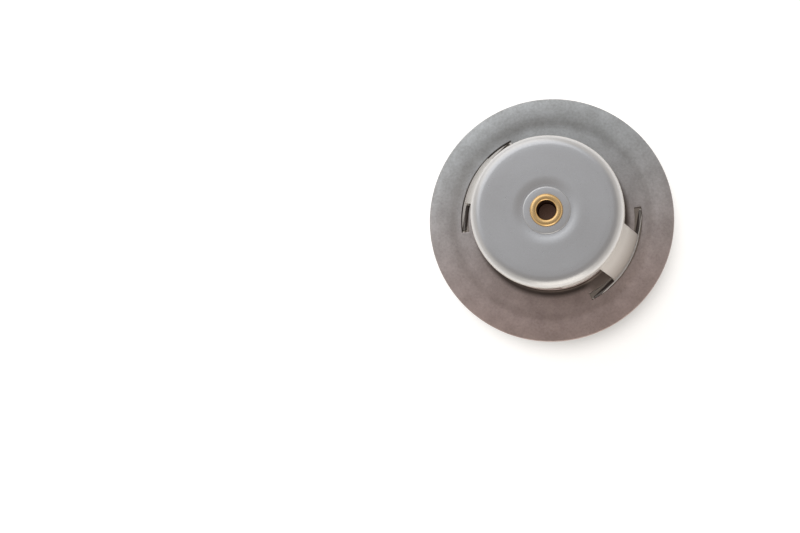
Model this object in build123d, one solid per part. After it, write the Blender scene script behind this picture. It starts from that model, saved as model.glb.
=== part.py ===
from build123d import *
from math import asin, cos, degrees, radians, sin
import os

# An engine thermostat of the wax element kind. Millimetres, +Z up towards the radiator side.
# The origin lies on the axis, in the underside of the flange rim.

# Flange: a pressed steel disc whose bare rim is gripped by a grooved seal ring
flange_radius = 33.5
flange_sheet = 1.2
rim_edge_round = 0.4
step_radius = 25.9  # foot of the step between the rim and the inner plate
step_width = 2.5
step_depth = 0.5
step_bend = 2.0
port_radius = 18.4  # wall of the collar that coolant flows through
collar_top = 3.2
collar_bend = 0.6

# Arc slots, one on each side of the flange, for the legs of the bridge
slot_inner_radius = 22.8
slot_width = 1.9
slot_half_angle = 35.5
cut_margin = 1.0  # how far cutters reach past the sheet they cut

# Bridge: a deep drawn cap on two legs with T shaped feet
bridge_sheet = 1.0
bridge_radius = 20.5
bridge_top = 21.0
shoulder_bend = 2.0
window_edge = 17.0  # lower edge of the skirt over the two side windows
skirt_edge = 14.0  # lower edge of the skirt beside the legs
window_half_angle = 38.0
window_corner = 0.8
leg_half_width = 6.8
leg_root = 2.0  # overlap of the leg's blank with the skirt
leg_foot_radius = 23.6  # middle of the sheet where a leg stands in its slot
leg_bend_height = 3.4
crease_bend = 0.5
leg_bend = 2.0
notch_radius = 0.8
foot_half_angle = 34.5  # reach of the T head under the flange
foot_tangent_angle = 18.0  # where the wings of the T head leave the arc of the leg
foot_height = 3.0
foot_corner = 0.7
foot_clearance = 0.1

# Dish in the crown of the bridge, with a pad coined up in its middle for the ferrule
dish_radius = 8.6
dish_width = 2.0
dish_depth = 0.3
dish_bend = 0.6
pad_radius = 6.4
pad_height = 0.4
pad_round = 0.4

# Ferrule: brass bush clinched in the crown, which holds the end of the piston
ferrule_head_radius = 4.4
ferrule_head_height = 0.9
ferrule_head_round = 0.65
ferrule_bore = 2.5
ferrule_bore_depth = 6.0
ferrule_mouth_round = 0.45
ferrule_wall = 0.9
ferrule_web = 1.0
ferrule_socket_depth = 1.5
ferrule_clinch = 0.5
ferrule_clinch_height = 0.7

# Wax element: brass cup crimped over a brass guide, with a diaphragm between
piston_radius = 2.0
piston_chamfer = 0.3
running_clearance = 0.05
element_radius = 6.5
element_wall = 0.9
element_base_round = 0.9
element_length = 18.5  # from the crimped rim to the bottom of the cup
rim_radius = 9.5
rim_lip = 1.9
rim_lip_thickness = 0.7
rim_lip_round = 0.55
diaphragm_thickness = 1.0
guide_flange_thickness = 1.6
guide_neck_radius = 4.25
guide_root_fillet = 0.8
guide_top_chamfer = 0.8
guide_top_gap = 0.7  # between the guide and the ferrule when cold
cone_radius = 5.0
cone_height = 3.0
plug_length = 2.3
washer_thickness = 0.6
fill_gap = 0.02  # between pieces that fill one another

# Main valve: pressed plate pushed on the element, seating under the flange
valve_sheet = 1.0
valve_overlap = 1.0  # width of the seat outside the collar's bend
valve_hub_radius = 12.8
valve_hub_drop = 4.0
valve_cone_radius = 17.4
valve_bend = 0.6
valve_collar_length = 2.5
valve_lift = 7.0

# Lower cage: pressed steel, clamped under the flange, carrying the main spring
cage_sheet = 1.0
cage_ring_edge = 0.8  # width of the ring left outside its leg slots
cage_clearance = 0.3
cage_wall_length = 9.2
cage_floor = -19.5
cage_floor_radius = 13.5
cage_guide_length = 2.0
cage_strap_half_width = 8.0
cage_lip = 1.2
cage_bend = 0.6
cage_knee_bend = 1.5
cage_guide_clearance = 0.1

# Main spring
spring_wire = 1.8
spring_mean_radius = 11.0
spring_turns = 3.6

# Bypass valve: sprung disc on the spigot of the element, kept by a clip
spigot_radius = 2.4
spigot_length = 6.0
spigot_groove_depth = 0.5
bypass_sheet = 0.8
bypass_spring_length = 3.9
bypass_hub_radius = 5.5
bypass_slope_radius = 8.2
bypass_hub_rise = 2.3
bypass_radius = 12.5
bypass_lip = 1.5
bypass_bend = 0.5
bypass_clearance = 0.1
bypass_wire = 0.8
bypass_spring_small_radius = 3.6
bypass_spring_large_radius = 5.6
bypass_spring_turns = 2.4
clip_thickness = 0.6
clip_radius = 4.0
clip_gap_angle = 70.0

# Worked out levels
rim_inner_radius = step_radius + step_width
slot_outer_radius = slot_inner_radius + slot_width
plate_top = flange_sheet - step_depth  # upper face of the flange inside the step
seat_level = plate_top - flange_sheet  # underside of the same plate, the valve's seat
crown_inner = bridge_top - bridge_sheet
dish_floor = bridge_top - dish_depth
pad_top = dish_floor + pad_height
ferrule_shoulder = pad_top + ferrule_head_height
piston_top = ferrule_shoulder - ferrule_bore_depth - ferrule_web
ferrule_bottom = piston_top - ferrule_socket_depth
guide_top = ferrule_bottom - guide_top_gap
hub_top = seat_level - valve_hub_drop
hub_bottom = hub_top - valve_sheet
diaphragm_bottom = hub_top + element_wall
guide_flange_bottom = diaphragm_bottom + diaphragm_thickness
guide_flange_top = guide_flange_bottom + guide_flange_thickness
cone_top = guide_flange_bottom + cone_height
plug_top = cone_top + plug_length
piston_bottom = plug_top + washer_thickness
element_bottom = hub_top - element_length
bypass_hub_top = element_bottom - bypass_spring_length
bypass_hub_bottom = bypass_hub_top - bypass_sheet
collar_outer_radius = port_radius + flange_sheet
valve_radius = collar_outer_radius + collar_bend + valve_overlap
cage_wall_radius = valve_radius + cage_clearance + cage_sheet / 2
cage_ring_radius = slot_outer_radius + cage_ring_edge
foot_top = seat_level - cage_sheet - foot_clearance
foot_bottom = foot_top - foot_height


def offset_corners(path, distance):
    """Corners of an open path moved sideways, to its left where the distance is positive."""
    corners = []
    last = len(path) - 1
    for i, corner in enumerate(path):
        start = max(i - 1, 0)
        end = min(i, last - 1)
        arriving = (path[start + 1] - path[start]).normalized()
        leaving = (path[end + 1] - path[end]).normalized()
        sideways = Vector(-arriving.Y - leaving.Y, arriving.X + leaving.X)
        corners.append(corner + sideways * (distance / (1 + arriving.dot(leaving))))
    return corners


def sheet_section(corners, thickness, bends):
    """Section of a pressed sheet from the corners of its middle line and its inside bend radii."""
    path = [Vector(*corner) for corner in corners]
    left_radii = []
    right_radii = []
    for i, bend in enumerate(bends, 1):
        turns_left = (path[i] - path[i - 1]).cross(path[i + 1] - path[i]).Z > 0
        left_radii.append(bend if turns_left else bend + thickness)
        right_radii.append(bend + thickness if turns_left else bend)
    left = offset_corners(path, thickness / 2)
    right = offset_corners(path, -thickness / 2)
    outline = FilletPolyline(*left, radius=left_radii)
    outline += FilletPolyline(*right, radius=right_radii)
    outline += Line(left[0], right[0])
    outline += Line(left[-1], right[-1])
    return make_face(outline)


def turned(section, half_angle=180.0):
    """The section, drawn as radius and height, turned about the axis and centred on +X."""
    return revolve(Rot(0, 0, -half_angle) * (Plane.XZ * section), Axis.Z, 2 * half_angle)


def ring(inner, outer, bottom, top, half_angle=180.0):
    """A plain ring, or an arc of one centred on +X."""
    section = Pos((inner + outer) / 2, (bottom + top) / 2) * Rectangle(outer - inner, top - bottom)
    return turned(section, half_angle)


def both_sides(piece):
    """The piece and its copy on the other side of the axis."""
    return piece + Rot(0, 0, 180) * piece


def leg_slots(bottom, top):
    """The two arc slots that the legs pass through, as cutters."""
    return both_sides(ring(slot_inner_radius, slot_outer_radius, bottom, top, slot_half_angle))


def make_flange():
    middle_rim = flange_sheet / 2
    middle_plate = plate_top - flange_sheet / 2
    middle_collar = port_radius + flange_sheet / 2
    section = sheet_section(
        [
            (flange_radius, middle_rim),
            (rim_inner_radius, middle_rim),
            (step_radius, middle_plate),
            (middle_collar, middle_plate),
            (middle_collar, collar_top),
        ],
        flange_sheet,
        [step_bend, step_bend, collar_bend],
    )
    plate = turned(section)
    top_edges = plate.edges().filter_by(GeomType.CIRCLE).group_by(Axis.Z)[-1]
    plate = fillet(top_edges, rim_edge_round)
    return plate - leg_slots(seat_level - cut_margin, plate_top + cut_margin)


def make_leg():
    middle_wall = bridge_radius - bridge_sheet / 2
    section = sheet_section(
        [
            (middle_wall, skirt_edge + leg_root),
            (middle_wall, skirt_edge),
            (leg_foot_radius, leg_bend_height),
            (leg_foot_radius, foot_bottom),
        ],
        bridge_sheet,
        [crease_bend, leg_bend],
    )
    strip = Pos(leg_foot_radius, 0, 0) * Box(leg_foot_radius, 2 * leg_half_width, 4 * bridge_top)
    return turned(section, 2 * foot_half_angle) & strip


def make_foot():
    """The T head: the arc of the leg, with flat wings that run off it at a tangent."""
    reach = foot_half_angle - foot_tangent_angle
    wing = leg_foot_radius * sin(radians(reach)) / cos(radians(reach))
    half = bridge_sheet / 2
    body = ring(leg_foot_radius - half, leg_foot_radius + half, foot_bottom, foot_top, foot_tangent_angle)
    for side in (1, -1):
        plate = Pos(leg_foot_radius, side * wing / 2, (foot_bottom + foot_top) / 2) * Box(
            bridge_sheet, wing, foot_height
        )
        tip = plate.edges().filter_by(Axis.X).sort_by(Axis.Y)
        plate = fillet(tip[-2:] if side > 0 else tip[:2], foot_corner)
        body += Rot(0, 0, side * foot_tangent_angle) * plate
    return body


def make_bridge():
    middle_wall = bridge_radius - bridge_sheet / 2
    middle_crown = bridge_top - bridge_sheet / 2
    hole = ferrule_bore + ferrule_wall
    section = sheet_section(
        [
            (hole, middle_crown - dish_depth),
            (dish_radius - dish_width, middle_crown - dish_depth),
            (dish_radius, middle_crown),
            (middle_wall, middle_crown),
            (middle_wall, skirt_edge),
        ],
        bridge_sheet,
        [dish_bend, dish_bend, shoulder_bend],
    )
    cap = turned(section)
    pad = ring(hole, pad_radius, dish_floor - bridge_sheet / 2, pad_top)
    pad_edge = pad.edges().filter_by(GeomType.CIRCLE).group_by(Axis.Z)[-1].sort_by(SortBy.RADIUS)[-1]
    cap += fillet(pad_edge, pad_round)
    window = ring(
        port_radius, bridge_radius + cut_margin, skirt_edge - cut_margin, window_edge, window_half_angle
    )
    corners = window.edges().filter_by(GeomType.LINE).group_by(Axis.Z)[-1]
    cap -= both_sides(Rot(0, 0, 90) * fillet(corners, window_corner))
    leg = make_leg() + make_foot()
    for side in (1, -1):
        notch = Rot(0, 90, 0) * Cylinder(notch_radius, bridge_radius)
        cap -= both_sides(Pos(bridge_radius, side * (leg_half_width + notch_radius), skirt_edge) * notch)
    return cap + both_sides(leg)


def make_ferrule():
    barrel = ferrule_bore + ferrule_wall
    bore_floor = ferrule_shoulder - ferrule_bore_depth
    clinch_top = dish_floor - bridge_sheet
    head = Polyline(
        (0, bore_floor),
        (ferrule_bore, bore_floor),
        (ferrule_bore, ferrule_shoulder),
        (ferrule_head_radius, ferrule_shoulder),
        (ferrule_head_radius, pad_top),
        (barrel, pad_top),
        (barrel, clinch_top),
        (barrel + ferrule_clinch, clinch_top),
        (barrel, clinch_top - ferrule_clinch_height),
        (barrel, ferrule_bottom),
        (piston_radius + running_clearance, ferrule_bottom),
        (piston_radius + running_clearance, piston_top),
        (0, piston_top),
        close=True,
    )
    bush = turned(make_face(head))
    rolled = bush.edges().filter_by(GeomType.CIRCLE).group_by(Axis.Z)[-1].sort_by(SortBy.RADIUS)
    bush = fillet(rolled[-1], ferrule_head_round)
    rolled = bush.edges().filter_by(GeomType.CIRCLE).group_by(Axis.Z)[-1].sort_by(SortBy.RADIUS)
    return fillet(rolled[0], ferrule_mouth_round)


def make_piston():
    pin = Pos(0, 0, (piston_top + piston_bottom) / 2) * Cylinder(piston_radius, piston_top - piston_bottom)
    return chamfer(pin.edges().filter_by(GeomType.CIRCLE), piston_chamfer)


def make_guide():
    bore = piston_radius + running_clearance
    body = ring(bore, rim_radius - element_wall, guide_flange_bottom, guide_flange_top)
    body += ring(bore, guide_neck_radius, guide_flange_top, guide_top)
    root = body.edges().filter_by(GeomType.CIRCLE).filter_by(
        lambda edge: abs(edge.radius - guide_neck_radius) < fill_gap
    )
    body = fillet(root.sort_by(Axis.Z)[0], guide_root_fillet)
    top = body.edges().filter_by(GeomType.CIRCLE).group_by(Axis.Z)[-1].sort_by(SortBy.RADIUS)[-1]
    body = chamfer(top, guide_top_chamfer)
    cone = Pos(0, 0, guide_flange_bottom + cone_height / 2) * Cone(cone_radius, bore, cone_height)
    return body - cone


def make_plug():
    low = cone_top + fill_gap
    return Pos(0, 0, (low + plug_top) / 2) * Cylinder(piston_radius, plug_top - low)


def make_washer():
    return Pos(0, 0, plug_top + washer_thickness / 2) * Cylinder(piston_radius, washer_thickness)


def make_diaphragm():
    radius = rim_radius - element_wall - fill_gap
    disc = Pos(0, 0, diaphragm_bottom + diaphragm_thickness / 2) * Cylinder(radius, diaphragm_thickness)
    boss = Pos(0, 0, guide_flange_bottom + cone_height / 2) * Cone(
        cone_radius - running_clearance, piston_radius, cone_height
    )
    return disc + boss


def make_cup():
    inner = element_radius - element_wall
    spigot_end = element_bottom - spigot_length
    groove_radius = spigot_radius - spigot_groove_depth
    groove_bottom = bypass_hub_bottom - clip_thickness
    outline = Polyline(
        (0, spigot_end),
        (spigot_radius, spigot_end),
        (spigot_radius, groove_bottom),
        (groove_radius, groove_bottom),
        (groove_radius, bypass_hub_bottom),
        (spigot_radius, bypass_hub_bottom),
        (spigot_radius, element_bottom),
        (element_radius, element_bottom),
        (element_radius, hub_top),
        (rim_radius, hub_top),
        (rim_radius, guide_flange_top + rim_lip_thickness),
        (rim_radius - rim_lip, guide_flange_top + rim_lip_thickness),
        (rim_radius - rim_lip, guide_flange_top),
        (rim_radius - element_wall, guide_flange_top),
        (rim_radius - element_wall, diaphragm_bottom),
        (inner, diaphragm_bottom),
        (inner, element_bottom + element_wall),
        (0, element_bottom + element_wall),
        close=True,
    )
    cup = turned(make_face(outline))
    rounds = cup.edges().filter_by(GeomType.CIRCLE)
    rolled = rounds.group_by(Axis.Z)[-1].sort_by(SortBy.RADIUS)[-1]
    cup = fillet(rolled, rim_lip_round)
    base = cup.edges().filter_by(GeomType.CIRCLE).filter_by(
        lambda edge: abs(edge.radius - element_radius) < fill_gap
    )
    cup = fillet(base.sort_by(Axis.Z)[0], element_base_round)
    end = cup.edges().filter_by(GeomType.CIRCLE).sort_by(Axis.Z)[0]
    return chamfer(end, spigot_groove_depth)


def make_wax():
    low = element_bottom + element_wall
    radius = element_radius - element_wall - fill_gap
    return Pos(0, 0, (low + diaphragm_bottom) / 2) * Cylinder(radius, diaphragm_bottom - low)


def make_valve():
    middle_hub = hub_top - valve_sheet / 2
    middle_seat = seat_level - valve_sheet / 2
    middle_collar = element_radius + valve_sheet / 2
    section = sheet_section(
        [
            (middle_collar, hub_bottom - valve_collar_length),
            (middle_collar, middle_hub),
            (valve_hub_radius, middle_hub),
            (valve_cone_radius, middle_seat),
            (valve_radius, middle_seat),
        ],
        valve_sheet,
        [valve_bend, valve_bend, valve_bend],
    )
    return turned(section)


def make_cage():
    middle_ring = seat_level - cage_sheet / 2
    middle_floor = cage_floor - cage_sheet / 2
    middle_guide = element_radius + cage_guide_clearance + cage_sheet / 2
    section = sheet_section(
        [
            (cage_ring_radius, middle_ring),
            (cage_wall_radius, middle_ring),
            (cage_wall_radius, middle_ring - cage_wall_length),
            (cage_floor_radius, middle_floor),
            (middle_guide, middle_floor),
            (middle_guide, cage_floor - cage_sheet - cage_guide_length),
        ],
        cage_sheet,
        [cage_bend, cage_knee_bend, cage_bend, cage_bend],
    )
    cage = turned(section)
    window_top = seat_level - cage_sheet - cage_lip
    window = Box(2 * cage_ring_radius, 3 * cage_ring_radius, window_top - cage_floor)
    level = (window_top + cage_floor) / 2
    for side in (1, -1):
        cage -= Pos(side * (cage_ring_radius + cage_strap_half_width), 0, level) * window
    return cage - leg_slots(foot_bottom, seat_level + cut_margin)


def make_main_spring():
    low = cage_floor
    high = hub_bottom
    height = high - low
    pitch = height / spring_turns
    path = Helix(pitch=pitch, height=height, radius=spring_mean_radius, center=(0, 0, low))
    section = Plane(origin=path @ 0, z_dir=path % 0) * Circle(spring_wire / 2)
    coil = sweep(section, path=path, is_frenet=True)
    slab = Pos(0, 0, (low + high) / 2) * Cylinder(2 * spring_mean_radius, height)
    return coil & slab


def make_bypass_disc():
    middle_hub = bypass_hub_top - bypass_sheet / 2
    middle_rim = middle_hub - bypass_hub_rise
    section = sheet_section(
        [
            (spigot_radius + bypass_clearance, middle_hub),
            (bypass_hub_radius, middle_hub),
            (bypass_slope_radius, middle_rim),
            (bypass_radius - bypass_sheet / 2, middle_rim),
            (bypass_radius - bypass_sheet / 2, middle_rim + bypass_sheet / 2 + bypass_lip),
        ],
        bypass_sheet,
        [bypass_bend, bypass_bend, bypass_bend],
    )
    return turned(section)


def make_bypass_spring():
    height = bypass_spring_length
    pitch = height / bypass_spring_turns
    widening = degrees(asin((bypass_spring_large_radius - bypass_spring_small_radius) / height))
    path = Helix(
        pitch=pitch,
        height=height,
        radius=bypass_spring_small_radius,
        center=(0, 0, bypass_hub_top),
        cone_angle=widening,
    )
    section = Plane(origin=path @ 0, z_dir=path % 0) * Circle(bypass_wire / 2)
    coil = sweep(section, path=path, is_frenet=True)
    slab = Pos(0, 0, bypass_hub_top + height / 2) * Cylinder(2 * bypass_spring_large_radius, height)
    return coil & slab


def make_clip():
    inner = spigot_radius - spigot_groove_depth + fill_gap
    arc = (360 - clip_gap_angle) / 2
    return ring(inner, clip_radius, bypass_hub_bottom - clip_thickness, bypass_hub_bottom, arc)


nodes = {
    "flange_plate": make_flange,
    "upper_bridge": make_bridge,
    "piston_ferrule": make_ferrule,
    "piston": make_piston,
    "element_guide": make_guide,
    "rubber_plug": make_plug,
    "backing_washer": make_washer,
    "diaphragm": make_diaphragm,
    "element_cup": make_cup,
    "wax_charge": make_wax,
    "main_valve_plate": make_valve,
    "lower_cage": make_cage,
    "main_spring": make_main_spring,
    "bypass_disc": make_bypass_disc,
    "bypass_spring": make_bypass_spring,
    "bypass_clip": make_clip,
}

os.makedirs("parts", exist_ok=True)
for name, make in nodes.items():
    export_step(make(), f"parts/{name}.step")
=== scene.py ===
from math import acos, asin, cos, pi, radians, sin, sqrt, tan

import bmesh
import bpy
from mathutils import Matrix, Vector


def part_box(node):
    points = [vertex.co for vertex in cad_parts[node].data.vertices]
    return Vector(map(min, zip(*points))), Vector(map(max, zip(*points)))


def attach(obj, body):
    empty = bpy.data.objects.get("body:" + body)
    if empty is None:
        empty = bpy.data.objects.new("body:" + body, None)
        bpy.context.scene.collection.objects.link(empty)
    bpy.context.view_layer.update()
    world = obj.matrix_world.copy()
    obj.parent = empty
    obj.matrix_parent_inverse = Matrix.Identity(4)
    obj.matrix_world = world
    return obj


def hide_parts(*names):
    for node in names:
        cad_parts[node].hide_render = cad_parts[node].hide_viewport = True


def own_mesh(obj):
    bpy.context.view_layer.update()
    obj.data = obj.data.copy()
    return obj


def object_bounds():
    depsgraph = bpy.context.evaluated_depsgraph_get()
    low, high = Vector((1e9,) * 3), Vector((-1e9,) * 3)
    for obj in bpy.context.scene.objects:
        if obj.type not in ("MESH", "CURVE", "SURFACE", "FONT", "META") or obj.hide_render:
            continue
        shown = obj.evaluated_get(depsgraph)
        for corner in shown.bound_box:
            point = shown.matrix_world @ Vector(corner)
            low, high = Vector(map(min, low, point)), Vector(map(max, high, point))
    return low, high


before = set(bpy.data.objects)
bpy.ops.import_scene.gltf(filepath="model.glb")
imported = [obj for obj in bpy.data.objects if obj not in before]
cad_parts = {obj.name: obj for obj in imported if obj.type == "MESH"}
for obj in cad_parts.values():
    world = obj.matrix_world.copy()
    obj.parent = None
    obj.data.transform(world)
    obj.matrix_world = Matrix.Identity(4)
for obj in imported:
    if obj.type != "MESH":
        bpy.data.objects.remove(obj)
cad_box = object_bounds()
mm = 0.001

# ---------------------------------------------------------------- camera
# The camera looks down on the crown, about eight degrees off the thermostat's axis, from the side
# between one leg and one window. It is turned so that the flange lies right of the middle.
picture_width, picture_height = 800, 533
focal_pixels = 2000
flange_in_picture = (550.5, 218.6)
camera_distance = 548 * mm
camera_tilt = radians(8.0)
camera_bearing = radians(-36.6)
leg_slant_in_picture = radians(27.5)

_, flange_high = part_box("flange_plate")
target = Vector((0, 0, flange_high.z))
towards_camera = Vector(
    (
        sin(camera_tilt) * cos(camera_bearing),
        sin(camera_tilt) * sin(camera_bearing),
        cos(camera_tilt),
    )
)
upwards = Vector((-sin(leg_slant_in_picture), cos(leg_slant_in_picture), 0))
right = upwards.cross(towards_camera).normalized()
upright = Matrix((right, towards_camera.cross(right), towards_camera)).transposed()
sight = Vector(
    (
        (flange_in_picture[0] - picture_width / 2) / focal_pixels,
        (picture_height / 2 - flange_in_picture[1]) / focal_pixels,
        -1,
    )
)
aim = sight.rotation_difference(Vector((0, 0, -1))).to_matrix()
camera_data = bpy.data.cameras.new("camera")
camera_data.sensor_width = 36
camera_data.lens = focal_pixels * camera_data.sensor_width / picture_width
camera_data.clip_start = 10 * mm
camera = bpy.data.objects.new("camera", camera_data)
bpy.context.scene.collection.objects.link(camera)
camera_place = Matrix.Translation(target + towards_camera * camera_distance)
camera.matrix_world = camera_place @ (upright @ aim).to_4x4()
bpy.context.scene.camera = camera
bpy.context.scene.view_settings.view_transform = "Standard"

# ---------------------------------------------------------------- table
# The thermostat stands on a plain white table. Away from it the table is seen as pure white, also in
# the metal. Under the flange its colour is painted dark as the part's shadow, and its glow fades there.
# From below it is clear, and lets the room light what is seen through it. The foot of the valve rests
# on it, so it moves with the valve: an opening valve lifts the thermostat off the table, and never goes
# through it.
floor_gap = 0.02 * mm
floor_level = cad_box[0].z - floor_gap
floor_half = 3.0
floor_corners = ((-1, -1), (1, -1), (1, 1), (-1, 1))
painted_table_shadow, table_in_light = (0.24, 0.21, 0.19, 1), (0.78, 0.775, 0.77, 1)
floor_mesh = bpy.data.meshes.new("table_top")
floor_mesh.from_pydata(
    [(x * floor_half, y * floor_half, floor_level) for x, y in floor_corners],
    [],
    [(0, 1, 2, 3)],
)
floor = bpy.data.objects.new("table_top", floor_mesh)
bpy.context.scene.collection.objects.link(floor)
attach(floor, "valve")


def add_node(tree, kind, **settings):
    """A new shader node of a kind in a node tree, with its settings, such as its operation."""
    node = tree.nodes.new("ShaderNode" + kind)
    for setting, value in settings.items():
        setattr(node, setting, value)
    return node


def add_links(tree, *pairs):
    """Links between pairs of sockets."""
    for source, target_socket in pairs:
        tree.links.new(source, target_socket)


def set_range(node, start, end, smooth=False):
    """Sets the values that a Map Range node runs between, evenly or eased at both ends."""
    node.interpolation_type = "SMOOTHSTEP" if smooth else "LINEAR"
    node.inputs["From Min"].default_value = start
    node.inputs["From Max"].default_value = end


def distance_from_axis(tree, position):
    """The socket that gives how far a position is from the thermostat's axis."""
    flat = add_node(tree, "VectorMath", operation="MULTIPLY")
    flat.inputs[1].default_value = (1, 1, 0)
    length = add_node(tree, "VectorMath", operation="LENGTH")
    add_links(tree, (position, flat.inputs[0]), (flat.outputs[0], length.inputs[0]))
    return length.outputs["Value"]


white_table = bpy.data.materials.new("white_table")
white_table.use_nodes = True
tree = white_table.node_tree
tree.nodes.clear()
output = add_node(tree, "OutputMaterial")
lit = add_node(tree, "BsdfDiffuse")
glow = add_node(tree, "Emission")
both = add_node(tree, "AddShader")
place = add_node(tree, "TexCoord")
covered = add_node(tree, "MapRange")
paint = add_node(tree, "Mix", data_type="RGBA")
light = add_node(tree, "MapRange")
rays = add_node(tree, "LightPath")
mirrored = add_node(tree, "Math", operation="MAXIMUM")
either = add_node(tree, "Math", operation="MAXIMUM")
strength = add_node(tree, "Math", operation="MULTIPLY")
sides = add_node(tree, "NewGeometry")
clear = add_node(tree, "BsdfTransparent")
seen = add_node(tree, "MixShader")
below = add_node(tree, "Math", operation="MAXIMUM")
# Painted shadow: the table's colour darkens under the flange, and its white glow fades there.
set_range(covered, 25 * mm, 36 * mm, smooth=True)
paint.inputs["A"].default_value = painted_table_shadow
paint.inputs["B"].default_value = table_in_light
glow.inputs["Color"].default_value = (1, 0.99, 0.98, 1)
set_range(light, 24 * mm, 39 * mm, smooth=True)
light.inputs["To Min"].default_value = 0
light.inputs["To Max"].default_value = 0.6
radius = distance_from_axis(tree, place.outputs["Object"])
add_links(
    tree,
    (radius, covered.inputs["Value"]),
    (covered.outputs["Result"], paint.inputs["Factor"]),
    (paint.outputs["Result"], lit.inputs["Color"]),
    (radius, light.inputs["Value"]),
    (rays.outputs["Is Glossy Ray"], mirrored.inputs[0]),
    (rays.outputs["Is Transmission Ray"], mirrored.inputs[1]),
    (rays.outputs["Is Camera Ray"], either.inputs[0]),
    (mirrored.outputs[0], either.inputs[1]),
    (light.outputs["Result"], strength.inputs[0]),
    (either.outputs[0], strength.inputs[1]),
    (strength.outputs[0], glow.inputs["Strength"]),
    (lit.outputs[0], both.inputs[0]),
    (glow.outputs[0], both.inputs[1]),
    (sides.outputs["Backfacing"], below.inputs[0]),
    (rays.outputs["Transparent Depth"], below.inputs[1]),
    (below.outputs[0], seen.inputs["Fac"]),
    (both.outputs[0], seen.inputs[1]),
    (clear.outputs[0], seen.inputs[2]),
    (seen.outputs[0], output.inputs["Surface"]),
)
floor_mesh.materials.append(white_table)

# ---------------------------------------------------------------- room
# The room is cream near the horizon. Overhead it is grey, darker and browner towards the near right
# side than towards the window. The camera sees it as plain white.
window_side = (-0.87, 0.5, 0)
horizon_height, overhead_height, window_reach = 0.3, 0.8, 0.28
room = bpy.data.worlds.new("room")
room.use_nodes = True
bpy.context.scene.world = room
tree = room.node_tree
tree.nodes.clear()
output = add_node(tree, "OutputWorld")
surroundings = add_node(tree, "Background")
place = add_node(tree, "TexCoord")
split = add_node(tree, "SeparateXYZ")
rise = add_node(tree, "MapRange")
across = add_node(tree, "VectorMath", operation="DOT_PRODUCT")
centred = add_node(tree, "MapRange")
overhead = add_node(tree, "Mix", data_type="RGBA")
blend = add_node(tree, "Mix", data_type="RGBA")
rays = add_node(tree, "LightPath")
white = add_node(tree, "Background")
choice = add_node(tree, "MixShader")
set_range(rise, horizon_height, overhead_height, smooth=True)
across.inputs[1].default_value = window_side
set_range(centred, 0, window_reach)
overhead.inputs["A"].default_value = (0.385, 0.365, 0.353, 1)
overhead.inputs["B"].default_value = (0.65, 0.665, 0.69, 1)
blend.inputs["A"].default_value = (0.9, 0.85, 0.78, 1)
surroundings.inputs["Strength"].default_value = 1
white.inputs["Color"].default_value = (1, 1, 1, 1)
white.inputs["Strength"].default_value = 1
add_links(
    tree,
    (place.outputs["Generated"], split.inputs[0]),
    (split.outputs["Z"], rise.inputs["Value"]),
    (place.outputs["Generated"], across.inputs[0]),
    (across.outputs["Value"], centred.inputs["Value"]),
    (centred.outputs["Result"], overhead.inputs["Factor"]),
    (rise.outputs["Result"], blend.inputs["Factor"]),
    (overhead.outputs["Result"], blend.inputs["B"]),
    (blend.outputs["Result"], surroundings.inputs["Color"]),
    (rays.outputs["Is Camera Ray"], choice.inputs["Fac"]),
    (surroundings.outputs[0], choice.inputs[1]),
    (white.outputs[0], choice.inputs[2]),
    (choice.outputs[0], output.inputs["Surface"]),
)

# ---------------------------------------------------------------- window light
# One soft lamp stands for the window, low over the far left corner of the table.


def soft_lamp(name, side, elevation, distance, size, energy, colour=(1, 1, 1)):
    """A square lamp that faces the thermostat from one side, raised by an angle above the table."""
    data = bpy.data.lights.new(name, "AREA")
    data.size = size
    data.energy = energy
    data.color = colour
    lamp = bpy.data.objects.new(name, data)
    bpy.context.scene.collection.objects.link(lamp)
    away = Vector(side).normalized() * cos(elevation) + Vector((0, 0, sin(elevation)))
    lamp.location = target + away * distance
    lamp.rotation_mode = "QUATERNION"
    lamp.rotation_quaternion = away.to_track_quat("Z", "Y")


soft_lamp(
    "window_light",
    window_side,
    elevation=radians(38),
    distance=0.42,
    size=0.5,
    energy=0.6,
)

# ---------------------------------------------------------------- low fill light
# A second soft lamp, warm and close to the table, stands for the white card on the near right side.
# It lights the legs and the skirt much more than the flat flange.
card_side = (0.6, -0.8, 0)
soft_lamp(
    "card_light",
    card_side,
    elevation=radians(13),
    distance=0.36,
    size=0.3,
    energy=0.3,
    colour=(1, 0.95, 0.86),
)

# ---------------------------------------------------------------- flange plate
# The flange is a disc of 1.2 mm steel, blanked, stepped and slotted in a press, with the rim of its
# port drawn up into a collar. Barrel tumbling left it matt, with faint rings from the tool.
flange_sheet = 1.2 * mm
rim_inner_radius = 28.4 * mm
step_radius = 25.9 * mm
step_depth = 0.5 * mm
port_radius = 18.4 * mm
slot_inner_radius = 22.8 * mm
slot_outer_radius = 24.7 * mm
slot_half_angle = radians(35.5)
plate_bend, collar_bend, flange_easing = 10 * mm, 1.2 * mm, 0.2 * mm
column_step = radians(1.5)
weld_distance = 0.002 * mm
sharp_angle = radians(32)


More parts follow.
